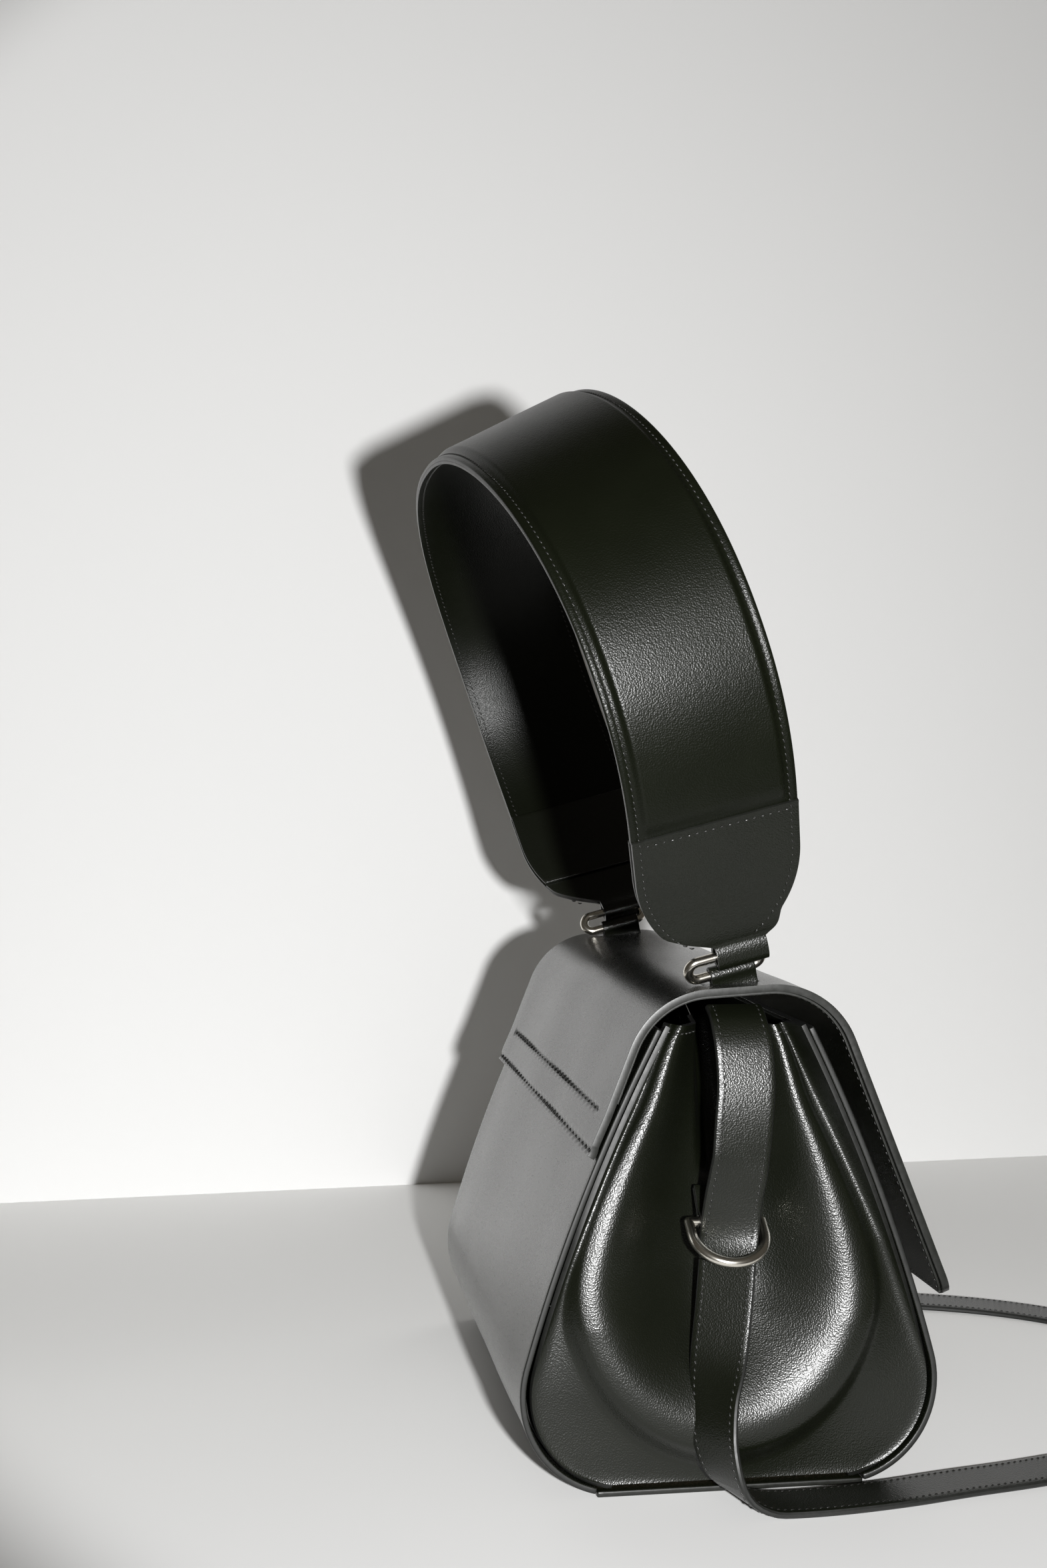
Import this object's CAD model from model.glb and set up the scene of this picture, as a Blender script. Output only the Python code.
import math

import bpy
import numpy as np
from mathutils import Matrix, Vector, noise


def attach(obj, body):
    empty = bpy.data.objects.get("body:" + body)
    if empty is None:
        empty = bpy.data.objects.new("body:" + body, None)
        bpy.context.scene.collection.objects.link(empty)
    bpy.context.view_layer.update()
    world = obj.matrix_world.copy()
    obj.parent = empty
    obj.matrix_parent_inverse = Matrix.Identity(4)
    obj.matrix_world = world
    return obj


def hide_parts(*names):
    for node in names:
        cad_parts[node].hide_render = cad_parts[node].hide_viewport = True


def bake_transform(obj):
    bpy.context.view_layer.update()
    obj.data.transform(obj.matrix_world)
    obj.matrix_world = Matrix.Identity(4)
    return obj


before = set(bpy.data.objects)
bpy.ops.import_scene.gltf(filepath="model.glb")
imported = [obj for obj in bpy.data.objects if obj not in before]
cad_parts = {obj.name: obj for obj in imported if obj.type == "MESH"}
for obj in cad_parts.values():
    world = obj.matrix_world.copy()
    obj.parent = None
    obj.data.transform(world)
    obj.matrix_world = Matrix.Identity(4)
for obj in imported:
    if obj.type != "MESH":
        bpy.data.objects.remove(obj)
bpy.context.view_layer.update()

# Camera: a 42 mm lens on a 36 mm high frame of 1568 by 2349 pixels, a little above the rings and
# looking along the bag at its left gusset, a little from behind. Sizes are in millimetres.
MM = 0.001
EYE = Vector((-850.1, 204.1, 296))
VIEW_TURN, VIEW_TILT, VIEW_ROLL = -0.15765, -0.0101, 0.00903
FRAME_H, FRAME_H_PX, FOCAL_PX = 36, 2349, 2750
lens_data = bpy.data.cameras.new("camera")
lens_data.sensor_fit = "VERTICAL"
lens_data.sensor_width = lens_data.sensor_height = FRAME_H
lens_data.lens = FOCAL_PX / FRAME_H_PX * FRAME_H
camera = bpy.data.objects.new("camera", lens_data)
bpy.context.scene.collection.objects.link(camera)
bpy.context.scene.camera = camera
ahead = Vector((
    math.cos(VIEW_TILT) * math.cos(VIEW_TURN),
    math.cos(VIEW_TILT) * math.sin(VIEW_TURN),
    math.sin(VIEW_TILT),
))
level = ahead.cross(Vector((0, 0, 1))).normalized()
rise = level.cross(ahead)
side = math.cos(VIEW_ROLL) * level + math.sin(VIEW_ROLL) * rise
rise = -math.sin(VIEW_ROLL) * level + math.cos(VIEW_ROLL) * rise
turned = Matrix((side, rise, -ahead)).transposed().to_4x4()
camera.matrix_world = Matrix.Translation(EYE * MM) @ turned
bpy.context.scene.view_settings.view_transform = "Standard"


# Shoulder strap between the D-rings: two plies of leather, 24 mm wide, painted on the edges and
# sewn along both of them. It hangs from the D-rings, turns over on the table and runs to the front.
class Dye:
    """A shader socket that takes part in sums, and makes any other node of its material."""

    def __init__(self, tree, socket=None):
        self.tree, self.socket = tree, socket

    def node(self, kind, settings=None, sockets=None, out=0):
        made = self.tree.nodes.new("ShaderNode" + kind)
        for key, value in (settings or {}).items():
            setattr(made, key, value)
        for key, value in (sockets or {}).items():
            if isinstance(value, Dye):
                self.tree.links.new(value.socket, made.inputs[key])
            else:
                made.inputs[key].default_value = value
        return Dye(self.tree, made.outputs[out] if made.outputs else None)

    def sum(self, operation, first, second):
        return self.node("Math", {"operation": operation}, {0: first, 1: second})

    def __add__(self, other):
        return self.sum("ADD", self, other)

    __radd__ = __add__

    def __mul__(self, other):
        return self.sum("MULTIPLY", self, other)

    __rmul__ = __mul__

    def between(self, first, second):
        return self.node("Mix", {"data_type": "RGBA"}, {0: self, 6: (*first, 1), 7: (*second, 1)}, out=2)


def new_finish(name):
    finish = bpy.data.materials.new(name)
    finish.use_nodes = True
    finish.node_tree.nodes.clear()
    dye = Dye(finish.node_tree)
    return finish, dye, dye.node("TexCoord", out="Object")


def lay_on(dye, sockets):
    shader = dye.node("BsdfPrincipled", sockets=sockets)
    dye.node("OutputMaterial", sockets={"Surface": shader})


def leather_finish(name, dark, light, roughness, gloss, grain=1.0):
    finish, dye, place = new_finish(name)
    blotch = dye.node("TexNoise", sockets={"Vector": place, "Scale": 30, "Detail": 4})
    pebble = dye.node(
        "TexVoronoi", {"feature": "SMOOTH_F1"}, {"Vector": place, "Scale": 1500, "Smoothness": 0.3})
    pore = dye.node("TexNoise", sockets={"Vector": place, "Scale": 2300, "Detail": 2})
    height = 0.8 * pebble + 0.3 * pore
    bump = dye.node("Bump", sockets={"Strength": 0.75 * grain, "Distance": 0.00015, "Height": height})
    lay_on(dye, {
        "Base Color": blotch.between(dark, light),
        "Roughness": roughness - 0.05 + 0.07 * blotch + 0.06 * pebble,
        "Normal": bump,
        "Specular IOR Level": gloss,
    })
    return finish


def paint_finish(name, colour, roughness):
    finish, dye, place = new_finish(name)
    streak = dye.node("TexNoise", sockets={"Vector": place, "Scale": 420, "Detail": 3})
    bump = dye.node("Bump", sockets={"Strength": 0.2, "Distance": 0.0001, "Height": streak})
    lay_on(dye, {
        "Base Color": streak.between([0.7 * c for c in colour], [1.3 * c for c in colour]),
        "Roughness": roughness - 0.08 + 0.16 * streak,
        "Normal": bump,
    })
    return finish


def thread_finish(name, colour):
    finish, dye, place = new_finish(name)
    twist = dye.node(
        "TexWave", {"bands_direction": "DIAGONAL"}, {"Vector": place, "Scale": 900, "Distortion": 1})
    bump = dye.node("Bump", sockets={"Strength": 0.5, "Distance": 0.0001, "Height": twist})
    lay_on(dye, {
        "Base Color": twist.between([0.6 * c for c in colour], [1.4 * c for c in colour]),
        "Roughness": 0.27 + 0.12 * twist,
        "Normal": bump,
    })
    return finish


CALF_DARK, CALF_LIGHT = (0.0022, 0.0028, 0.0012), (0.0038, 0.0047, 0.0022)
calf = leather_finish("black_calf", CALF_DARK, CALF_LIGHT, 0.31, 0.45)
handle_calf = leather_finish("handle_calf", CALF_DARK, CALF_LIGHT, 0.33, 0.2)
smooth_calf = leather_finish(
    "smooth_black_calf", (0.0024, 0.003, 0.0015), (0.0042, 0.005, 0.0028), 0.25, 1.0, grain=0.5)
edge_paint = paint_finish("edge_paint", (0.006, 0.0065, 0.005), 0.38)
dull_edge = paint_finish("dull_edge_paint", (0.004, 0.0044, 0.0035), 0.5)
black_thread = thread_finish("black_thread", (0.011, 0.011, 0.01))


def deselect():
    if bpy.context.object and bpy.context.object.mode != "OBJECT":
        bpy.ops.object.mode_set(mode="OBJECT")
    bpy.ops.object.select_all(action="DESELECT")


def cut_sheet(name, rows, cols, place, finishes, edge_cols=()):
    """A grid primitive, each vertex laid where place(row, col) says."""
    deselect()
    bpy.ops.mesh.primitive_grid_add(x_subdivisions=cols - 1, y_subdivisions=rows - 1, size=1)
    piece = bpy.context.object
    piece.name = piece.data.name = name
    for finish in finishes:
        piece.data.materials.append(finish)
    for face in piece.data.polygons:
        middle = sum((piece.data.vertices[v].co.x for v in face.vertices)) / 4
        if int((middle + 0.5) * (cols - 1)) in edge_cols:
            face.material_index = 1
    for corner in piece.data.vertices:
        row = round((corner.co.y + 0.5) * (rows - 1))
        col = round((corner.co.x + 0.5) * (cols - 1))
        corner.co = Vector(place(row, col)) * MM
    return piece


def apply_all(piece, angle=35):
    deselect()
    piece.select_set(True)
    bpy.context.view_layer.objects.active = piece
    for modifier in list(piece.modifiers):
        bpy.ops.object.modifier_apply(modifier=modifier.name)
    bpy.ops.object.mode_set(mode="EDIT")
    bpy.ops.mesh.select_all(action="SELECT")
    bpy.ops.mesh.normals_make_consistent(inside=False)
    bpy.ops.object.mode_set(mode="OBJECT")
    bpy.ops.object.shade_smooth_by_angle(angle=math.radians(angle))
    return piece


WELD = 0.00002


def close_tube(piece, angle=35):
    """Joins a sheet's first column to its last one and closes both ends."""
    bpy.ops.object.mode_set(mode="EDIT")
    bpy.ops.mesh.select_all(action="SELECT")
    bpy.ops.mesh.remove_doubles(threshold=WELD)
    bpy.ops.mesh.select_all(action="DESELECT")
    bpy.ops.mesh.select_non_manifold()
    bpy.ops.mesh.fill_holes(sides=0)
    bpy.ops.object.mode_set(mode="OBJECT")
    return apply_all(piece, angle)


def sew_tube(name, stations, loop, finishes, edge_cols=()):
    """A closed tube: loop gives (across, out) points that are laid round each station."""
    def place(row, col):
        middle, across, out = stations[row]
        a, o = loop[col % len(loop)]
        return middle + a * across + o * out
    return close_tube(cut_sheet(name, len(stations), len(loop) + 1, place, finishes, edge_cols))


def flow(stops, step):
    """A smooth curve through stops, with points about a step apart along the first three columns."""
    stops = np.array(stops, float)
    ends = np.vstack([2 * stops[0] - stops[1], stops, 2 * stops[-1] - stops[-2]])
    line = []
    for a, b, c, d in zip(ends, ends[1:], ends[2:], ends[3:]):
        for t in np.linspace(0, 1, 24, endpoint=False):
            line.append(b + 0.5 * t * (c - a + t * (2 * a - 5 * b + 4 * c - d + t * (3 * (b - c) + d - a))))
    line = np.array(line + [stops[-1]])
    run = np.concatenate([[0], np.cumsum(np.linalg.norm(np.diff(line[:, :3], axis=0), axis=1))])
    even = np.linspace(0, run[-1], int(run[-1] / step) + 1)
    return np.stack([np.interp(even, run, column) for column in line.T], axis=1)


def band_stations(line):
    """Middle, across and out at each point of a band's line; its last columns lead across."""
    ways = np.gradient(line[:, :3], axis=0)
    stations = []
    for middle, way, across in zip(line[:, :3], ways, line[:, 3:]):
        way = Vector(way).normalized()
        across = Vector(across)
        across = (across - across.dot(way) * way).normalized()
        stations.append((Vector(middle), across, across.cross(way)))
    return stations


def stitch_places(stations, across, out, pitch):
    """Where the stitches of one row lie on a band: place, way and outward direction."""
    points = [m + across * a + out * o for m, a, o in stations]
    run = np.concatenate([[0], np.cumsum([(q - p).length for p, q in zip(points, points[1:])])])
    count = max(2, int(run[-1] / pitch))
    places = []
    for i in range(count):
        at = (i + 0.5) / count * run[-1]
        k = min(len(points) - 2, int(np.searchsorted(run, at, side="right")) - 1)
        share = (at - run[k]) / (run[k + 1] - run[k])
        places.append((
            points[k].lerp(points[k + 1], share),
            (points[k + 1] - points[k]).normalized(),
            stations[k][2] * (1 if out >= 0 else -1),
        ))
    return places


STITCH_PITCH, LONG_PITCH, THREAD_DRAW, THREAD_RAISE = 3, 3.4, 0.55, 0.12


def thread_row(name, places, length=2.4, radius=0.38, slant=0.3):
    """Stitches: one small capsule, drawn down at both ends, copied to every place."""
    deselect()
    bpy.ops.mesh.primitive_uv_sphere_add(segments=6, ring_count=6, radius=1)
    one = bpy.context.object
    shape = np.array([v.co for v in one.data.vertices])
    shape = np.stack([shape[:, 2] * length / 2, shape[:, 0] * radius, shape[:, 1] * radius], axis=1)
    shape[:, 2] -= THREAD_DRAW * (2 * shape[:, 0] / length) ** 2 - THREAD_RAISE
    faces = [tuple(p.vertices) for p in one.data.polygons]
    bpy.data.objects.remove(one)
    points, loops = [], []
    for middle, way, out in places:
        along = (way + slant * out.cross(way)).normalized()
        turn = np.array([along, out.cross(along), out])
        loops += [tuple(i + len(points) * len(shape) for i in f) for f in faces]
        points.append((np.array(middle) + shape @ turn) * MM)
    mesh = bpy.data.meshes.new(name)
    mesh.from_pydata(np.concatenate(points).tolist(), [], loops)
    mesh.materials.append(black_thread)
    piece = bpy.data.objects.new(name, mesh)
    bpy.context.scene.collection.objects.link(piece)
    return apply_all(piece, 80)


def twin(piece, name):
    """The same piece for the right end, mirrored in its own mesh."""
    other = piece.copy()
    other.data = piece.data.copy()
    other.name = other.data.name = name
    bpy.context.scene.collection.objects.link(other)
    for corner in other.data.vertices:
        corner.co.x *= -1
    other.data.flip_normals()
    return other


STRAP_W, STRAP_T, STRAP_ROW, STRAP_FACE = 24, 3, 9.3, 1.45
fall_stops = [
    (-126, 3, 94, 6, 10, 0), (-128.5, 5, 76, 6, 10, 0), (-132.5, 8, 58, 7, 10, 0),
    (-138, 11, 42, 10, 7, 0), (-143, 12, 28, 10, 6, 0), (-146, 9, 16, 10, 5, 0),
    (-146.5, 3, 8, 10, 3, 0), (-146, -6, 3.4, 10, 1, 0), (-145, -16, 1.7, 1, 0, 0),
    (-144, -38, 1.6, 10, 1, 0), (-140, -66, 1.6, 10, 2, 0), (-134, -94, 1.6, 10, 2, 0),
    (-127, -130, 1.6, 10, 2, 0), (-116, -170, 1.6, 10, 3, 0), (-98, -210, 1.6, 10, 6, 0),
    (-72, -242, 1.6, 10, 11, 0), (-38, -262, 1.6, 4, 10, 0), (0, -268, 1.6, 0, 1, 0),
]
fall_stops = [np.concatenate([s[:3], np.array(s[3:]) / np.linalg.norm(s[3:])]) for s in fall_stops]
mirror_x = np.array([-1, 1, 1, -1, 1, 1])
loop_line = flow(fall_stops + [s * mirror_x for s in fall_stops[-2::-1]], 3.5)
loop_stations = band_stations(loop_line)
strap_edge = [
    (STRAP_W / 2, 0.5), (STRAP_W / 2 - 0.6, STRAP_T / 2 - 0.25),
    (STRAP_W / 2 - 1.6, STRAP_T / 2), (STRAP_W / 2 - 2.4, STRAP_T / 2),
]
strap_section = [(-a, -o) for a, o in strap_edge] + [(a, -o) for a, o in strap_edge[::-1]]
strap_section += [(-a, -o) for a, o in strap_section]
STRAP_EDGE_COLS = (0, 6, 7, 8, 14, 15)


def strap_thread(name, stations):
    """A row of stitches along each edge of the strap, on both of its faces."""
    rows = []
    for across in (-STRAP_ROW, STRAP_ROW):
        for out in (-STRAP_FACE, STRAP_FACE):
            rows += stitch_places(stations, across, out, STITCH_PITCH)
    return thread_row(name, rows)


strap_loop = sew_tube(
    "shoulder_strap", loop_stations, strap_section, [calf, dull_edge], STRAP_EDGE_COLS)
strap_length = float(np.linalg.norm(np.diff(loop_line[:, :3], axis=0), axis=1).sum()) * MM
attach(strap_loop, "body")
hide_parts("strap_loop")
strap_loop_thread = strap_thread("shoulder_strap_thread", loop_stations)
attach(strap_loop_thread, "body")


# Base panel: a separate piece of leather lapped over the feet of the front and back panels,
# with rounded painted edges. Its board lies inside, under the lining.
BAG_HALF, BASE_HALF, BASE_T, BASE_ROWS, BASE_COLS = 125, 56, 2.5, 41, 61


def add_leather(piece, thickness, offset=-1, edge=0.7):
    """Gives a cut sheet its thickness and rounds its painted edges."""
    solid = piece.modifiers.new("thickness", "SOLIDIFY")
    solid.thickness, solid.offset = thickness * MM, offset
    solid.use_even_offset, solid.material_offset_rim = True, 1
    round_off = piece.modifiers.new("edge", "BEVEL")
    round_off.width, round_off.segments, round_off.limit_method = edge * MM, 3, "ANGLE"
    round_off.angle_limit = math.radians(50)
    return apply_all(piece)


def base_place(row, col):
    x = -BAG_HALF + 2 * BAG_HALF * col / (BASE_COLS - 1)
    y = -BASE_HALF + 2 * BASE_HALF * row / (BASE_ROWS - 1)
    return x, y, 0.0


base_panel = cut_sheet("base_panel_leather", BASE_ROWS, BASE_COLS, base_place, [calf, edge_paint])
add_leather(base_panel, BASE_T, offset=1)
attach(base_panel, "body")
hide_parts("base_panel")

board_finish, dye, place = new_finish("fibre_board")
fibre = dye.node("TexNoise", sockets={"Vector": place, "Scale": 300, "Detail": 5})
lay_on(dye, {
    "Base Color": fibre.between((0.24, 0.17, 0.11), (0.36, 0.28, 0.19)),
    "Roughness": 0.7 + 0.2 * fibre,
    "Normal": dye.node("Bump", sockets={"Strength": 0.4, "Distance": 0.0002, "Height": fibre}),
})
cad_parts["base_board"].data.materials.clear()
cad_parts["base_board"].data.materials.append(board_finish)


# Back and front panels: one piece of calf each, drawn over the lower corner and crowned up to the
# rim. Their cut edges are painted and show beside the gussets' edges.
CORNER_R, BODY_DEPTH, BODY_H, TOP_DEPTH, CROWN, PANEL_T, PANEL_COLS = 42, 176, 190, 66, 4, 2.6, 71
CORNER_Y = BODY_DEPTH / 2 - CORNER_R
CORNER_TURN = math.atan((BODY_DEPTH / 2 - TOP_DEPTH / 2 - 4 * CROWN) / (BODY_H - CORNER_R))
WALL_FOOT = Vector((
    CORNER_Y + CORNER_R * math.cos(CORNER_TURN), CORNER_R + CORNER_R * math.sin(CORNER_TURN)))
WALL_RISE = Vector((TOP_DEPTH / 2, BODY_H)) - WALL_FOOT


def wall_point(share):
    return WALL_FOOT + share * WALL_RISE + Vector((4 * CROWN * share * (1 - share), 0))


def wall_out(share):
    way = WALL_RISE + Vector((4 * CROWN * (1 - 2 * share), 0))
    return Vector((way.y, -way.x)).normalized()


def wall_share(z):
    return (z - WALL_FOOT.y) / WALL_RISE.y


def panel_skin(inset, foot_y):
    """Points (y, z) and outward directions up one panel, from foot_y on the corner to the rim."""
    start = -math.acos((foot_y - CORNER_Y) / (CORNER_R - inset))
    skin = []
    for i in range(25):
        a = start + (CORNER_TURN - start) * i / 24
        point = Vector((CORNER_Y + CORNER_R * math.cos(a), CORNER_R + CORNER_R * math.sin(a)))
        skin.append((point, Vector((math.cos(a), math.sin(a)))))
    for i in range(1, 41):
        skin.append((wall_point(i / 40), wall_out(i / 40)))
    return [(p - inset * n, n) for p, n in skin]


def softness(x, y, z, size, height):
    """A slight unevenness, as of leather that was shaped by hand."""
    return height * noise.noise(Vector((x, y, z)) / size)


panel_line = panel_skin(0, BASE_HALF + 0.6)


def back_place(row, col):
    point, out = panel_line[row]
    x = BAG_HALF - 2 * BAG_HALF * col / (PANEL_COLS - 1)
    inner = min(1, (BAG_HALF - abs(x)) / 30)
    lift = inner * softness(x, point.x, point.y, 70, 0.9)
    return x, point.x + lift * out.x, point.y + lift * out.y


back_panel = cut_sheet(
    "back_panel_leather", len(panel_line), PANEL_COLS, back_place, [smooth_calf, dull_edge])
add_leather(back_panel, PANEL_T)
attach(back_panel, "body")
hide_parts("back_panel")


def front_place(row, col):
    x, y, z = back_place(row, col)
    return -x, -y, z


front_panel = cut_sheet(
    "front_panel_leather", len(panel_line), PANEL_COLS, front_place, [smooth_calf, dull_edge])
add_leather(front_panel, PANEL_T)
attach(front_panel, "body")
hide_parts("front_panel")


# Gussets: soft calf, its edges turned out to a rim and sewn to the panels. The middle is folded in:
# an egg-shaped ridge that stands out round a hollow, and a deep fold between two lips under the
# strap. Outside the ridge a rounded brow and a step lead down to a margin along the rim.
GUSSET_T, RIDGE_GAP, RIDGE_SPAN, RIDGE_SOFT = 2, 12.5, 57, 3
RIDGE_OUT, LEAN_Z, LEAN_LOW, LEAN_HIGH = 6.8, 70, 0.08, 0.16
BROW_W, BROW_R, STEP_W, STEP_SPREAD, STEP_FREE = 13, 17, 6, 1.2, 3.5
MARGIN_FOOT, MARGIN_SINK, MARGIN_Z, MARGIN_RISE, RIM_SOFT = 0.8, 4.4, 40, 60, 2
FOLD_Y, FOLD_WIDE_Z, FOLD_LOW_Z, FOLD_SLOPE, FOLD_ROUND, FOLD_DEEP = 3.5, 90, 28, 0.78, 13, 26
FOLD_SLOT, SLOT_Z, SLOT_HALF, SLOT_SOFT, SLOT_POWER = 25, 124, 11, 8, 0.7
TOP_DIP, HEM_OUT, HEM_IN, HEM_COUNT, HEM_DROP = 3, 26, 11, 6, 3.2
GUSSET_FOOT = PANEL_T + GUSSET_T + 0.4


def smooth(share):
    share = min(1, max(0, share))
    return share * share * (3 - 2 * share)


def gusset_half(z):
    inset = PANEL_T + GUSSET_T + 0.2
    if z >= WALL_FOOT.y:
        return wall_point(wall_share(z)).x - inset / wall_out(wall_share(z)).x
    return CORNER_Y + math.sqrt(max(0, (CORNER_R - inset) ** 2 - (CORNER_R - z) ** 2))


def ridge_half(z):
    """Half width of the fold between its ridges: a set span below, a set gap from the rim above."""
    span, inner = RIDGE_SPAN, gusset_half(z) - RIDGE_GAP * (1 - smooth(5 * z / BODY_H - 4) / 3)
    return (span + inner) / 2 - math.hypot((span - inner) / 2, RIDGE_SOFT)


def fold_share(y, z):
    """Place between the middle of the fold, 0, and the ridge, 1, which lies a little to the back."""
    middle = FOLD_Y * min(1, (BODY_H - z) / (BODY_H - FOLD_WIDE_Z))
    down = max(0, (FOLD_WIDE_Z - z) / (FOLD_WIDE_Z - FOLD_LOW_Z))
    return math.hypot((y - middle) / ridge_half(z), down)


def gusset_sink(y, z):
    """Depth of the gusset behind its rim, outside the ridge and then inside it."""
    share = fold_share(y, z)
    crest = (LEAN_HIGH if z > LEAN_Z else LEAN_LOW) * (z - LEAN_Z) - RIDGE_OUT
    if share >= 1:
        rim = max(0, min(gusset_half(z) - abs(y), z - GUSSET_FOOT))
        away = (share - 1) * RIDGE_SPAN
        margin = MARGIN_FOOT + MARGIN_SINK * smooth((z - MARGIN_Z) / MARGIN_RISE)
        margin += LEAN_HIGH * max(0, z - MARGIN_Z - MARGIN_RISE)
        brow = (BROW_W * math.tanh(away / BROW_W)) ** 2 / (2 * BROW_R)
        step = max(0, margin - crest - BROW_W ** 2 / (2 * BROW_R))
        step *= smooth((away - BROW_W / 2) / (STEP_W + STEP_SPREAD * max(0, step - STEP_FREE)))
        return (crest + brow + step) * (1 - math.exp(-rim / RIM_SOFT))
    side = FOLD_SLOPE * (math.hypot((1 - share) * RIDGE_SPAN, FOLD_ROUND) - FOLD_ROUND)
    slot = FOLD_SLOT * max(0, (z - SLOT_Z) / (BODY_H - SLOT_Z)) ** SLOT_POWER
    slot *= smooth((SLOT_HALF - abs(y)) / SLOT_SOFT)
    return crest + side / (1 + (side / FOLD_DEEP) ** 4) ** 0.25 + slot


GUSSET_ROWS, GUSSET_COLS = 121, 121


def gusset_place(row, col):
    u = (row / (GUSSET_ROWS - 1)) ** 1.4
    w = 1 - 2 * col / (GUSSET_COLS - 1)
    v = math.copysign(1 - (1 - abs(w)) ** 1.5, w)
    z = GUSSET_FOOT + u * (BODY_H - GUSSET_FOOT - TOP_DIP * (1 - abs(v)))
    y = v * gusset_half(z)
    x = -BAG_HALF + gusset_sink(y, z)
    return x, y, z


gusset_left = cut_sheet(
    "gusset_left_leather", GUSSET_ROWS, GUSSET_COLS, gusset_place, [calf, dull_edge])
add_leather(gusset_left, GUSSET_T, edge=0.5)
gusset_right = twin(gusset_left, "gusset_right_leather")
hem_places = []
for start, end in ((HEM_OUT, HEM_IN), (-HEM_IN, -HEM_OUT)):
    for i in range(HEM_COUNT):
        y = start + (end - start) * (i + 0.5) / HEM_COUNT
        z = BODY_H - TOP_DIP * (1 - abs(y) / 31) - HEM_DROP
        middle = Vector((-BAG_HALF + gusset_sink(y, z) - 0.1, y, z))
        hem_places.append((middle, Vector((0, 1, 0)), Vector((-1, 0, 0))))
hem_left = thread_row("gusset_hem_left_thread", hem_places)
hem_right = twin(hem_left, "gusset_hem_right_thread")
for piece, node in (
    (gusset_left, "gusset_left"), (gusset_right, "gusset_right"), (hem_left, None), (hem_right, None),
):
    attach(piece, "body")
    if node:
        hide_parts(node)


# Lining: plain woven cloth over the board and up both sides, with a little slack, and two strips of
# leather that face the inside of the rim.
LINING_T, FACING_T, FACING_H, LINING_HALF, LINING_COLS, FLOOR_Z = 0.7, 1.4, 26, 114, 61, 5
lining_cloth, dye, place = new_finish("lining_cloth")
warp, weft = (
    dye.node("TexWave", {"bands_direction": way}, {"Vector": place, "Scale": 320, "Distortion": 0.6})
    for way in "XZ"
)
fade = dye.node("TexNoise", sockets={"Vector": place, "Scale": 25, "Detail": 3})
lay_on(dye, {
    "Base Color": fade.between((0.012, 0.012, 0.011), (0.022, 0.022, 0.02)),
    "Roughness": 0.75 + 0.15 * warp,
    "Normal": dye.node("Bump", sockets={"Strength": 0.5, "Distance": 0.0003, "Height": warp * weft}),
})
wall_line = [p for p, n in panel_skin(PANEL_T + 0.2, BASE_HALF + 6)]
facing_foot = BODY_H - FACING_H
climb = [(0, FLOOR_Z + 0.3)]
climb += [(p.x, max(p.y, FLOOR_Z + 0.3)) for p in wall_line if p.y < facing_foot - 1]
lining_line = flow([(y, z, 0) for y, z in climb], 4)


def lining_place(row, col):
    half = len(lining_line) - 1
    y, z, _ = lining_line[abs(row - half)]
    y = math.copysign(y, row - half) if row != half else 0
    x = -LINING_HALF + 2 * LINING_HALF * col / (LINING_COLS - 1)
    slack = 0.5 + softness(x, y, z, 30, 0.45)
    return x, y - math.copysign(slack * min(1, abs(y) / 30), y), z + slack * (z < 12)


lining = cut_sheet(
    "lining_cloth", 2 * len(lining_line) - 1, LINING_COLS, lining_place, [lining_cloth, lining_cloth])
add_leather(lining, LINING_T, offset=1, edge=0.2)
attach(lining, "body")
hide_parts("lining")


FACING_ROWS = 13


def facing_place(row, col):
    share = wall_share(facing_foot) + (1 - wall_share(facing_foot)) * row / (FACING_ROWS - 1)
    point = wall_point(share) - (PANEL_T + 0.25) * wall_out(share)
    return -LINING_HALF + 2 * LINING_HALF * col / (LINING_COLS - 1), point.x, point.y


def front_facing_place(row, col):
    x, y, z = facing_place(row, col)
    return x, -y, z


back_facing = cut_sheet(
    "back_facing_leather", FACING_ROWS, LINING_COLS, facing_place, [calf, edge_paint])
add_leather(back_facing, FACING_T, offset=1, edge=0.4)
front_facing = cut_sheet(
    "front_facing_leather", FACING_ROWS, LINING_COLS, front_facing_place, [calf, edge_paint])
add_leather(front_facing, FACING_T, offset=-1, edge=0.4)
for piece, node in ((back_facing, "back_facing"), (front_facing, "front_facing")):
    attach(piece, "body")
    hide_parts(node)


# Flap: one piece of calf whose tail is sewn flat on the back by two rows of stitches. It bends at the
# upper row, goes over the rim and hangs in front, with its lining sewn under it.
FLAP_SKIN_T, FLAP_T, HINGE_Z, TAIL_H, TAIL_STEPS, FLAP_BEND_R, FLAP_CORNER_R = 3, 4.2, 153, 16, 8, 37, 10
LINING_SHY, LINING_GAP, EDGE_SEAM_IN = 2, 0.15, 4
SEAM_IN, SEAM_STEP, PUCKER, PUCKER_WAVE, PUCKER_LONG, PUCKER_REACH = 2.2, 0.9, 0.75, 0.4, 6.8, 1.5
RING_X, SLIT_Y, SLIT_HALF_X, SLIT_HALF_Y = 111, -1, 2.6, 12.2
flap_back, flap_front, flap_end = Vector((35.5, 204)), Vector((-41, 209)), Vector((-95, 76))
tail_points = []
for i in range(TAIL_STEPS + 1):
    share = wall_share(HINGE_Z - TAIL_H + TAIL_H * i / TAIL_STEPS)
    tail_points.append(wall_point(share) + FLAP_T * wall_out(share))


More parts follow.
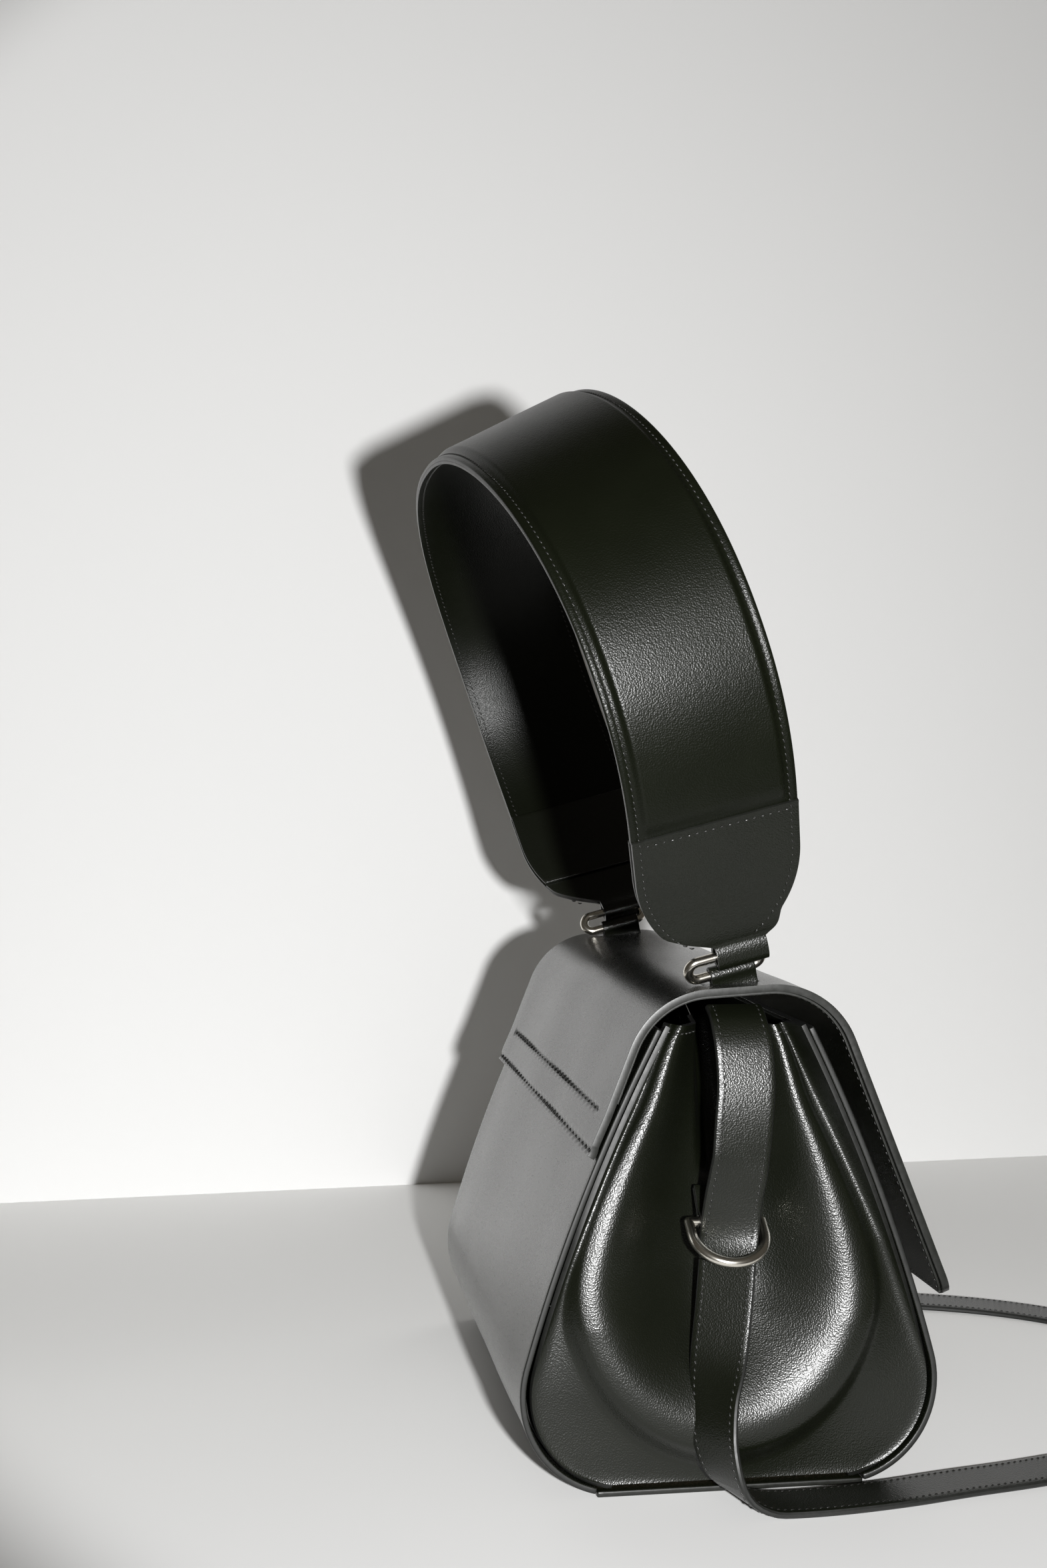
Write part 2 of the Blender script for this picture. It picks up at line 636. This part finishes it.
def round_corner(before, corner, after, steps):
    n0 = Vector(((corner - before).y, -(corner - before).x)).normalized()
    n1 = Vector(((after - corner).y, -(after - corner).x)).normalized()
    centre = corner - FLAP_BEND_R * (n0 + n1) / (1 + n0.dot(n1))
    a0, a1 = math.atan2(n0.y, n0.x), math.atan2(n1.y, n1.x)
    turn = (a1 - a0) % (2 * math.pi)
    spots = [a0 + turn * i / steps for i in range(steps + 1)]
    return [centre + FLAP_BEND_R * Vector((math.cos(a), math.sin(a))) for a in spots]


over_points = round_corner(tail_points[-1], flap_back, flap_front, 16)
over_points += round_corner(flap_back, flap_front, flap_end, 18)
corner_points = tail_points + over_points + [flap_end]
lengths = [(q - p).length for p, q in zip(corner_points, corner_points[1:])]
run = np.concatenate([[0], np.cumsum(lengths)])
FLAP_RUN = float(run[-1])
hinge_run = float(run[TAIL_STEPS])


def flap_at(s):
    """Point (y, z) of the flap's outer face and its outward way, s along it from the tail's edge."""
    def point(at):
        return Vector([float(np.interp(at, run, [p[k] for p in corner_points])) for k in (0, 1)])
    way = point(min(FLAP_RUN, s + 1.5)) - point(max(0, s - 1.5))
    return point(s), Vector((way.y, -way.x)).normalized()


slit_middle = min(np.linspace(hinge_run, FLAP_RUN, 2000), key=lambda s: abs(flap_at(s)[0].x - SLIT_Y))


def with_slit(spots, low, high):
    """Grid lines, with two of them moved on to the slit's sides."""
    spots = np.array(spots)
    for side in (low, high):
        spots[np.abs(spots - side).argmin()] = side
    return spots


seam_runs = (SEAM_IN, hinge_run)
seam_spots = [seam + SEAM_STEP * i for seam in seam_runs for i in range(-4, 5)]
seam_spots = [s for s in seam_spots if s > 0.2]
flap_rows = np.unique(np.round(np.concatenate([np.linspace(0, FLAP_RUN, 131), seam_spots]), 2))
flap_rows = with_slit(flap_rows, slit_middle - SLIT_HALF_Y, slit_middle + SLIT_HALF_Y)
flap_cols = np.linspace(BAG_HALF, -BAG_HALF, 177)
for middle in (RING_X, -RING_X):
    flap_cols = with_slit(flap_cols, middle - SLIT_HALF_X, middle + SLIT_HALF_X)


def flap_half(s):
    """Half length of the flap, drawn in at the rounded free corners."""
    left = max(0, FLAP_CORNER_R - (FLAP_RUN - s))
    return BAG_HALF - FLAP_CORNER_R + math.sqrt(max(0, FLAP_CORNER_R ** 2 - left ** 2))


def pucker(x, s):
    """How far thread draws the leather in beside the two seams on the back."""
    draw = 0
    for seam, reach in zip(seam_runs, (BAG_HALF, RING_X)):
        if abs(x) <= reach:
            wave = PUCKER + PUCKER_WAVE * math.sin(2 * math.pi * x / PUCKER_LONG)
            draw += wave * math.exp(-((s - seam) / PUCKER_REACH) ** 2)
    return draw


def flap_place(rows, depth):
    """Lays out the skin, at depth 0, or a smaller sheet at some depth under it."""
    def place(row, col):
        s, x = rows[row], flap_cols[col]
        x *= (flap_half(s) - (depth > 0) * LINING_SHY) / BAG_HALF
        point, out = flap_at(s)
        lift = -depth
        if depth == 0:
            inner = smooth((FLAP_RUN - s) / 20) * smooth((BAG_HALF - abs(x)) / 20)
            lift = softness(x, s, 0, 60, 0.7) * inner - pucker(x, s)
        return x, point.x + lift * out.x, point.y + lift * out.y
    return place


def cut_slits(piece):
    """Opens the slits for the strap ends: faces inside them are deleted."""
    deselect()
    piece.select_set(True)
    bpy.context.view_layer.objects.active = piece
    bpy.context.tool_settings.mesh_select_mode = (False, False, True)
    for part in (*piece.data.vertices, *piece.data.edges):
        part.select = False
    for face in piece.data.polygons:
        middle = face.center / MM
        in_slit = abs(abs(middle.x) - RING_X) < SLIT_HALF_X and abs(middle.y - SLIT_Y) < SLIT_HALF_Y
        face.select = in_slit and middle.z > BODY_H
    bpy.ops.object.mode_set(mode="EDIT")
    bpy.ops.mesh.delete(type="FACE")
    bpy.ops.object.mode_set(mode="OBJECT")
    bpy.context.tool_settings.mesh_select_mode = (True, False, False)


flap = cut_sheet(
    "flap_leather", len(flap_rows), len(flap_cols), flap_place(flap_rows, 0), [smooth_calf, edge_paint])
cut_slits(flap)
add_leather(flap, FLAP_SKIN_T, edge=1.3)
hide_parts("flap_skin", "flap_tail")
lining_rows = np.minimum(flap_rows[flap_rows > hinge_run + 4], FLAP_RUN - LINING_SHY)
flap_lining = cut_sheet(
    "flap_lining_leather", len(lining_rows), len(flap_cols),
    flap_place(lining_rows, FLAP_SKIN_T + LINING_GAP), [calf, edge_paint])
cut_slits(flap_lining)
add_leather(flap_lining, FLAP_T - FLAP_SKIN_T - LINING_GAP, edge=0.6)
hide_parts("flap_lining")
bend = dict(
    start=Vector((0, *flap_at(hinge_run - 5)[0])) * MM,
    end=Vector((0, *flap_at(hinge_run + 7)[0])) * MM,
)
seam_places = []
for seam, reach in zip(seam_runs, (BAG_HALF - 2, RING_X)):
    point, out = flap_at(seam)
    count = int(2 * reach / LONG_PITCH)
    for i in range(count + 1):
        x = -reach + 2 * reach * i / count
        middle = Vector((x, point.x, point.y)) - (pucker(x, seam) - 0.15) * Vector((0, *out))
        seam_places.append((middle, Vector((1, 0, 0)), Vector((0, *out))))
flap_seam = thread_row("flap_seam_thread", seam_places, length=3, radius=0.45, slant=0.9)
edge_places = []
for s in np.arange(hinge_run + 14, FLAP_RUN - EDGE_SEAM_IN, LONG_PITCH):
    (point, out), (ahead_point, _) = flap_at(s), flap_at(s + 1)
    way = Vector((0, *(ahead_point - point))).normalized()
    for sign in (-1, 1):
        middle = Vector((sign * (flap_half(s) - EDGE_SEAM_IN), point.x, point.y))
        middle -= (FLAP_T - 0.1) * Vector((0, *out))
        edge_places.append((middle, way, -Vector((0, *out))))
point, out = flap_at(FLAP_RUN - EDGE_SEAM_IN)
for x in np.arange(-BAG_HALF + 12, BAG_HALF - 11, LONG_PITCH):
    middle = Vector((x, point.x, point.y)) - (FLAP_T - 0.1) * Vector((0, *out))
    edge_places.append((middle, Vector((1, 0, 0)), -Vector((0, *out))))
flap_edge = thread_row("flap_edge_thread", edge_places)
for piece in (flap, flap_seam):
    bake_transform(piece)
for piece in (flap_lining, flap_edge):
    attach(piece, "flap")


# Strap ends: the strap's own ends come up through the slits in the flap, fold round the rings' lower
# wires and go back down. They lean to the back with the handle.
LEAN = math.radians(15)
SLIT_Z = 204.286
PLY_T, RING_LOW_H, END_R, END_W, END_ASIDE, END_SEAM_IN = 1.8, 7.1, 3.65, 19.5, -2.4, 2.4


def lean(x, y, z):
    """A place given from the slits in the flap, leaned to the back as the handle is."""
    return Vector((
        x,
        SLIT_Y + y * math.cos(LEAN) + z * math.sin(LEAN),
        SLIT_Z + z * math.cos(LEAN) - y * math.sin(LEAN),
    ))


def loop_line_round(reach, radius, ply):
    """A band round a wire, seen along it: down to reach beside itself, (down, side) points."""
    line = [(radius + 1.6 + (reach - radius - 1.6) * (1 - i / 3), ply) for i in range(4)]
    start = math.asin(min(1, (ply + 0.9) / radius))
    for i in range(25):
        a = start + (2 * math.pi - 2 * start) * i / 24
        line.append((radius * math.cos(a), radius * math.sin(a)))
    return line + [(d, -s) for d, s in line[3::-1]]


LOOP_COLS = 13


def loop_band(name, wire, reach, radius, width, shift=0):
    """A leather loop: wire(down, side, across) puts its points in place."""
    line = loop_line_round(reach, radius, PLY_T)

    def place(row, col):
        return wire(*line[row], shift - width / 2 + width * col / (LOOP_COLS - 1))
    piece = cut_sheet(name, len(line), LOOP_COLS, place, [calf, edge_paint])
    return add_leather(piece, PLY_T - 0.1, edge=0.5)


def end_place(down, side, across):
    return lean(-RING_X + side, across, RING_LOW_H - down)


strap_end_left = loop_band(
    "strap_end_left_leather", end_place, RING_LOW_H + 2.5, END_R, END_W, END_ASIDE)
strap_end_right = twin(strap_end_left, "strap_end_right_leather")
upward, outward = lean(0, 0, 1) - lean(0, 0, 0), lean(-1, 0, 0) - lean(0, 0, 0)
end_places = []
for across in (END_ASIDE - END_W / 2 + END_SEAM_IN, END_ASIDE + END_W / 2 - END_SEAM_IN):
    for down in (4.2, 7):
        end_places.append((lean(-RING_X - PLY_T, across, RING_LOW_H - down), upward, outward))
end_thread_left = thread_row("strap_end_left_thread", end_places)
end_thread_right = twin(end_thread_left, "strap_end_right_thread")
for piece, node in (
    (strap_end_left, "strap_end_left"), (strap_end_right, "strap_end_right"),
    (end_thread_left, None), (end_thread_right, None),
):
    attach(piece, "strap_ends")
    if node:
        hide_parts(node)


# Handle rings and D-rings: bent and brazed wire, polished and plated with pale nickel, with the fine
# scratches of handling.
nickel, dye, place = new_finish("pale_nickel")
haze = dye.node("TexNoise", sockets={"Vector": place, "Scale": 90, "Detail": 4})
drawn = dye.node("Mapping", sockets={"Vector": place, "Scale": (1, 12, 12)})
scratch = dye.node("TexNoise", sockets={"Vector": drawn, "Scale": 260, "Detail": 3})
lay_on(dye, {
    "Base Color": haze.between((0.72, 0.68, 0.6), (0.82, 0.79, 0.72)),
    "Metallic": 1,
    "Roughness": 0.12 + 0.12 * haze + 0.06 * scratch,
    "Normal": dye.node("Bump", sockets={"Strength": 0.06, "Distance": 0.0001, "Height": scratch}),
})
for node in ("ring_left", "ring_right", "dring_left", "dring_right"):
    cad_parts[node].data.materials.clear()
    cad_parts[node].data.materials.append(nickel)


# Handle: a wide band of calf over padding, its flat borders sewn to a leather lining, and its edges
# painted. It swells out above the rings, arches over and curls to the back.
HANDLE_W, HALF_SPAN, WIDE_H, HANDLE_H, SEAM_H, CURL, ARCH_POWER = 69, 175, 122, 243, 58, 21, 2 / 2.3
RING_PITCH, RING_TILT = 8.6, math.radians(28)
FOOT_X = RING_X + RING_PITCH * math.sin(RING_TILT)
FOOT_H = RING_LOW_H + RING_PITCH * math.cos(RING_TILT)
LEG_SHARE = (WIDE_H - SEAM_H) / WIDE_H
LEG_SWELL = (HALF_SPAN - FOOT_X) / (LEG_SHARE ** 2 + 2 * LEG_SHARE * SEAM_H / WIDE_H)
SKIN_IN, LINING_IN, BORDER_T, PAD_T, BORDER_W, THREAD_IN = -0.4, -2, 1.8, 1.7, 5.6, 3.2
half_arch = []
for i in range(40):
    h = SEAM_H + (WIDE_H - SEAM_H) * i / 40
    half_arch.append((HALF_SPAN - LEG_SWELL * ((WIDE_H - h) / WIDE_H) ** 2, h))
for i in range(91):
    a = math.radians(i)
    x = HALF_SPAN * math.cos(a) ** ARCH_POWER if i < 90 else 0
    half_arch.append((x, WIDE_H + (HANDLE_H - WIDE_H) * math.sin(a) ** ARCH_POWER))
arch = np.array([(-x, h, 0) for x, h in half_arch] + [(x, h, 0) for x, h in half_arch[-2::-1]])
arch_run = np.concatenate([[0], np.cumsum(np.linalg.norm(np.diff(arch, axis=0), axis=1))])
ARCH_RUN = float(arch_run[-1])


def arch_at(s):
    """Middle of the handle s along it, and its across and out directions, in the bag's frame."""
    def spot(at):
        return np.array([np.interp(at, arch_run, arch[:, k]) for k in (0, 1)])
    x, h = spot(s)
    way = spot(min(ARCH_RUN, s + 2)) - spot(max(0, s - 2))
    way /= np.linalg.norm(way)
    back = CURL * ((h - SEAM_H) / (HANDLE_H - SEAM_H)) ** 2
    turn = math.atan(2 * CURL * (h - SEAM_H) / (HANDLE_H - SEAM_H) ** 2)
    foot = lean(x, back, FOOT_H + h)
    across = lean(x, back + math.cos(turn), FOOT_H + h - math.sin(turn)) - foot
    out = lean(x - way[1], back, FOOT_H + h + way[0]) - foot
    return foot, across, out


handle_runs = np.linspace(0, ARCH_RUN, 171).tolist()
handle_stations = [arch_at(s) for s in handle_runs]


def skin_height(across, s):
    """Height of the handle's face above its lining: flat borders, padded middle, dip at the thread."""
    full = smooth((HANDLE_W / 2 - BORDER_W - abs(across)) / 2.6 + 0.5)
    ends = smooth(min(s, ARCH_RUN - s) / 4 - 0.9)
    crown = 0.1 * (1 - (across / (HANDLE_W / 2)) ** 2)
    dip = 0.3 * math.exp(-((HANDLE_W / 2 - THREAD_IN - abs(across)) / 0.7) ** 2)
    return BORDER_T + full * ends * (PAD_T + crown) - dip


skin_spots = [
    -34.5, -34.4, -33.9, -33, -32.3, -31.8, -31.3, -30.8, -30.2, -29.7,
    -29.2, -28.7, -28.2, -27.6, -26.8, -25.5, -22, -18, -12, -6,
]
skin_spots = skin_spots + [0] + [-s for s in skin_spots[::-1]]


SKIN_SPOTS = len(skin_spots)
EDGE_AT, EDGE_W, EDGE_ROLL = 33.7, 0.8, 0.5


def skin_loop(row, col):
    """Round the skin at one station: over its face, then the two corners of its flat underside."""
    middle, across, out = handle_stations[row]
    spot = col % (SKIN_SPOTS + 2)
    if spot < SKIN_SPOTS:
        a = skin_spots[spot]
        rise = SKIN_IN + skin_height(a, handle_runs[row])
        rise -= EDGE_ROLL * max(0, (abs(a) - EDGE_AT) / EDGE_W) ** 2
        rise += softness(*(middle + a * across), 45, 0.2) * smooth((27 - abs(a)) / 8)
    else:
        a, rise = (HANDLE_W / 2 if spot == SKIN_SPOTS else -HANDLE_W / 2), SKIN_IN
    return middle + a * across + rise * out


handle_skin = close_tube(cut_sheet(
    "handle_skin_leather", len(handle_runs), SKIN_SPOTS + 3, skin_loop, [handle_calf, edge_paint],
    (0, SKIN_SPOTS - 2, SKIN_SPOTS - 1, SKIN_SPOTS + 1)), angle=50)
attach(handle_skin, "handle")
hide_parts("handle_skin", "handle_padding")
lining_section = [
    (-34.5, -0.5), (-34.4, -1.4), (-33.8, -1.6), (-20, -1.6), (0, -1.6), (20, -1.6),
    (33.8, -1.6), (34.4, -1.4), (34.5, -0.5), (34.5, -0.1), (0, -0.1), (-34.5, -0.1),
]
lining_section = [(a, SKIN_IN + o) for a, o in lining_section]
handle_lining = sew_tube(
    "handle_lining_leather", handle_stations, lining_section, [handle_calf, edge_paint], (0, 7, 8, 11))
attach(handle_lining, "handle")
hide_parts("handle_lining")
handle_rows = []
for across in (THREAD_IN - HANDLE_W / 2, HANDLE_W / 2 - THREAD_IN):
    handle_rows += stitch_places(handle_stations, across, SKIN_IN + BORDER_T - 0.25, STITCH_PITCH)
    handle_rows += stitch_places(handle_stations, across, LINING_IN + 0.05, STITCH_PITCH)
handle_thread = thread_row("handle_thread", handle_rows)
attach(handle_thread, "handle")


# Handle tongues: two plies of calf sewn over the handle's ends. Each rounds off to a neck, and its outer
# ply rolls round the ring's upper wire and comes back up inside.
TONGUE_SIDE = HALF_SPAN - LEG_SWELL * LEG_SHARE ** 2 - FOOT_X
TONGUE_OUT = math.atan2(TONGUE_SIDE, SEAM_H)
TONGUE_LEN = math.hypot(TONGUE_SIDE, SEAM_H)
TONGUE_T, TONGUE_ROUND, TONGUE_COLS, RETURN_S, NECK_W, NECK_ASIDE = 4, TONGUE_LEN - 20, 33, 24, 22, 7


def tongue_place(s, across, out):
    x = -FOOT_X - s * math.sin(TONGUE_OUT) - out * math.cos(TONGUE_OUT)
    return lean(x, across, FOOT_H + s * math.cos(TONGUE_OUT) - out * math.sin(TONGUE_OUT))


def tongue_half(s):
    """Half width of the tongue, s up from the ring's wire."""
    if s >= TONGUE_ROUND:
        return HANDLE_W / 2
    share = min(1, (TONGUE_ROUND - max(s, 0)) / (TONGUE_ROUND - 4))
    return max(NECK_W / 2, HANDLE_W / 2 * math.sqrt(max(0, 1 - share * share)))


roll = [(TONGUE_LEN + 1.5 - (TONGUE_LEN - 16) * i / 30, TONGUE_T / 2 + 0.3 * (i < 1)) for i in range(31)]
roll_stops = [
    (13.5, 2), (10, 1.8), (7.6, 1.6), (6.2, 2), (4.4, 3.4), (2, 4.6), (-0.5, 5.2), (-2.6, 5.1),
    (-4.1, 4.3), (-4.5, 3), (-4.2, 1.5), (-3.9, -0.4), (-3.3, -2.6), (-1.2, -4.1), (1.5, -4.1),
    (4, -3.3), (7, -2.5), (11, -2.1), (RETURN_S, -2),
]
roll += flow([(s, out, 0) for s, out in roll_stops], 0.8)[:, :2].tolist()


def tongue_sheet(row, col):
    s, out = roll[row]
    half = tongue_half(s)
    aside = NECK_ASIDE * smooth((20 - s) / 14)
    return tongue_place(s, -half + 2 * half * col / (TONGUE_COLS - 1) - aside, out)


tongue_left = cut_sheet(
    "handle_tongue_left_leather", len(roll), TONGUE_COLS, tongue_sheet, [calf, edge_paint])
add_leather(tongue_left, PLY_T, edge=0.5)
inner_runs = np.linspace(RETURN_S + 0.4, TONGUE_LEN - 0.3, 20)


def tongue_inside(row, col):
    s = inner_runs[row]
    half = tongue_half(s)
    return tongue_place(s, half - 2 * half * col / (TONGUE_COLS - 1), -TONGUE_T / 2)


tongue_back_left = cut_sheet(
    "handle_tongue_back_left_leather", len(inner_runs), TONGUE_COLS, tongue_inside, [calf, edge_paint])
add_leather(tongue_back_left, PLY_T, edge=0.5)
tongue_places = []
edge_runs = np.linspace(9, TONGUE_LEN + 1, 90)
outward = (tongue_place(30, 0, 3) - tongue_place(30, 0, 2)).normalized()
for sign in (-1, 1):
    for face, runs in ((1, edge_runs), (-1, edge_runs[edge_runs > RETURN_S + 2])):
        line = [tongue_place(s, sign * (tongue_half(s) - THREAD_IN), face * TONGUE_T / 2) for s in runs]
        row = stitch_places([(p, outward, outward) for p in line], 0, 0, LONG_PITCH)
        tongue_places += [(p, way, face * out) for p, way, out in row]
way = (tongue_place(30, 1, 2) - tongue_place(30, 0, 2)).normalized()
for across in np.arange(-HANDLE_W / 2 + 5, HANDLE_W / 2 - 4, LONG_PITCH):
    tongue_places.append((tongue_place(TONGUE_LEN - 1.6, across, TONGUE_T / 2), way, outward))
    tongue_places.append((tongue_place(TONGUE_LEN - 2.4, across, -TONGUE_T / 2), way, -outward))
tongue_thread_left = thread_row("handle_tongue_left_thread", tongue_places)
for piece in (tongue_left, tongue_back_left, tongue_thread_left):
    other = twin(piece, piece.name.replace("left", "right"))
    for half in (piece, other):
        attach(half, "handle")
    if piece is tongue_left:
        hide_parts("handle_tongue_left")
        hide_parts("handle_tongue_right")


# D-ring tabs: a short loop of calf that holds the D-ring's bar, rises behind the strap and is sewn
# into the fold of the gusset.
DRING_X, DRING_Y, DRING_Z, TAB_R, TAB_W, TAB_LEN = 118, 2, 109, 4.2, 22.2, 16
TAB_RISE = math.radians(50)


def tab_place(down, side, across):
    x = -DRING_X + down * math.cos(TAB_RISE) - side * math.sin(TAB_RISE)
    return Vector((x, DRING_Y + across, DRING_Z + down * math.sin(TAB_RISE) + side * math.cos(TAB_RISE)))


dring_tab_left = loop_band("dring_tab_left_leather", tab_place, TAB_LEN, TAB_R, TAB_W)
dring_tab_right = twin(dring_tab_left, "dring_tab_right_leather")
for piece, node in ((dring_tab_left, "dring_tab_left"), (dring_tab_right, "dring_tab_right")):
    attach(piece, "body")
    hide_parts(node)


# Strap drops: the shoulder strap between the slits in the flap and the D-rings. They bend with the flap
# when it opens.
drop_stops = [
    (-113, -2, 196.5, 0, 1, 0), (-117.5, -2, 194.6, 0, 1, 0), (-122.3, -2, 191, 0, 1, 0),
    (-126.3, -2.5, 184, 0.2, 10, 0), (-128.5, -3, 175, 0.4, 10, 0), (-130.1, -3, 165, 0.4, 10, 0),
    (-130.8, -2, 152, 0.2, 10, 0), (-129.8, -1, 136, 0, 1, 0), (-127, 1, 120, 1, 10, 0),
    (-124.8, 2, 105.5, 3, 10, 0), (-125.9, 3, 94.6, 6, 10, 0),
]
drop_stations = band_stations(flow(drop_stops, 2.5))
strap_drop_left = sew_tube(
    "strap_drop_left_leather", drop_stations, strap_section, [calf, dull_edge], STRAP_EDGE_COLS)
drop_thread_left = strap_thread("strap_drop_left_thread", drop_stations)
for piece in (strap_drop_left, drop_thread_left):
    other = twin(piece, piece.name.replace("left", "right"))
    for half in (piece, other):
        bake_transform(half)
    if piece is strap_drop_left:
        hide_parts("strap_drop_left")
        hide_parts("strap_drop_right")


# Floor and wall: plain pale board, the floor darker towards the camera. A lamp stands beside the
# camera, and soft warm light comes from all round.
def pale_finish(name, near, far, start, end):
    """Pale board whose tone goes from near to far between two places along X."""
    finish, dye, place = new_finish(name)
    along = dye.node("SeparateXYZ", sockets={"Vector": place})
    share = dye.node(
        "MapRange", {"interpolation_type": "SMOOTHSTEP"},
        {"Value": along, "From Min": start, "From Max": end})
    lay_on(dye, {"Base Color": share.between(near, far), "Roughness": 0.85, "Specular IOR Level": 0.2})
    return finish


WALL_X, WALL_SLOPE, WALL_H, STAGE_REACH = 443, -0.08, 2500, 3000


def floor_place(row, col):
    y = -STAGE_REACH + 2 * STAGE_REACH * row
    return (-STAGE_REACH if col == 0 else WALL_X + WALL_SLOPE * y), y, 0


def wall_place(row, col):
    y = -STAGE_REACH + 2 * STAGE_REACH * row
    return WALL_X + WALL_SLOPE * y, y, WALL_H * col


floor_board = pale_finish("pale_floor", (0.58, 0.58, 0.58), (0.98, 0.98, 0.97), -0.35, 0.05)
floor = cut_sheet("floor", 2, 2, floor_place, [floor_board])
wall_board = pale_finish("pale_wall", (0.82, 0.82, 0.815), (0.82, 0.82, 0.815), 0, 1)
wall = cut_sheet("wall", 2, 2, wall_place, [wall_board])
LAMP_AT, LAMP_AIM = Vector((-950, 104, 285)), Vector((0, -20, 290))
lamp_data = bpy.data.lights.new("lamp", "SPOT")
lamp_data.spot_size, lamp_data.spot_blend = math.radians(60), 0.3
lamp_data.shadow_soft_size, lamp_data.energy = 0.016, 68
lamp = bpy.data.objects.new("lamp", lamp_data)
lamp.location = LAMP_AT * MM
lamp.rotation_euler = (LAMP_AIM * MM - lamp.location).to_track_quat("-Z", "Y").to_euler()
bpy.context.scene.collection.objects.link(lamp)
room = bpy.data.worlds.new("room")
room.use_nodes = True
room.node_tree.nodes["Background"].inputs["Color"].default_value = (1, 0.9, 0.74, 1)
room.node_tree.nodes["Background"].inputs["Strength"].default_value = 0.06
bpy.context.scene.world = room
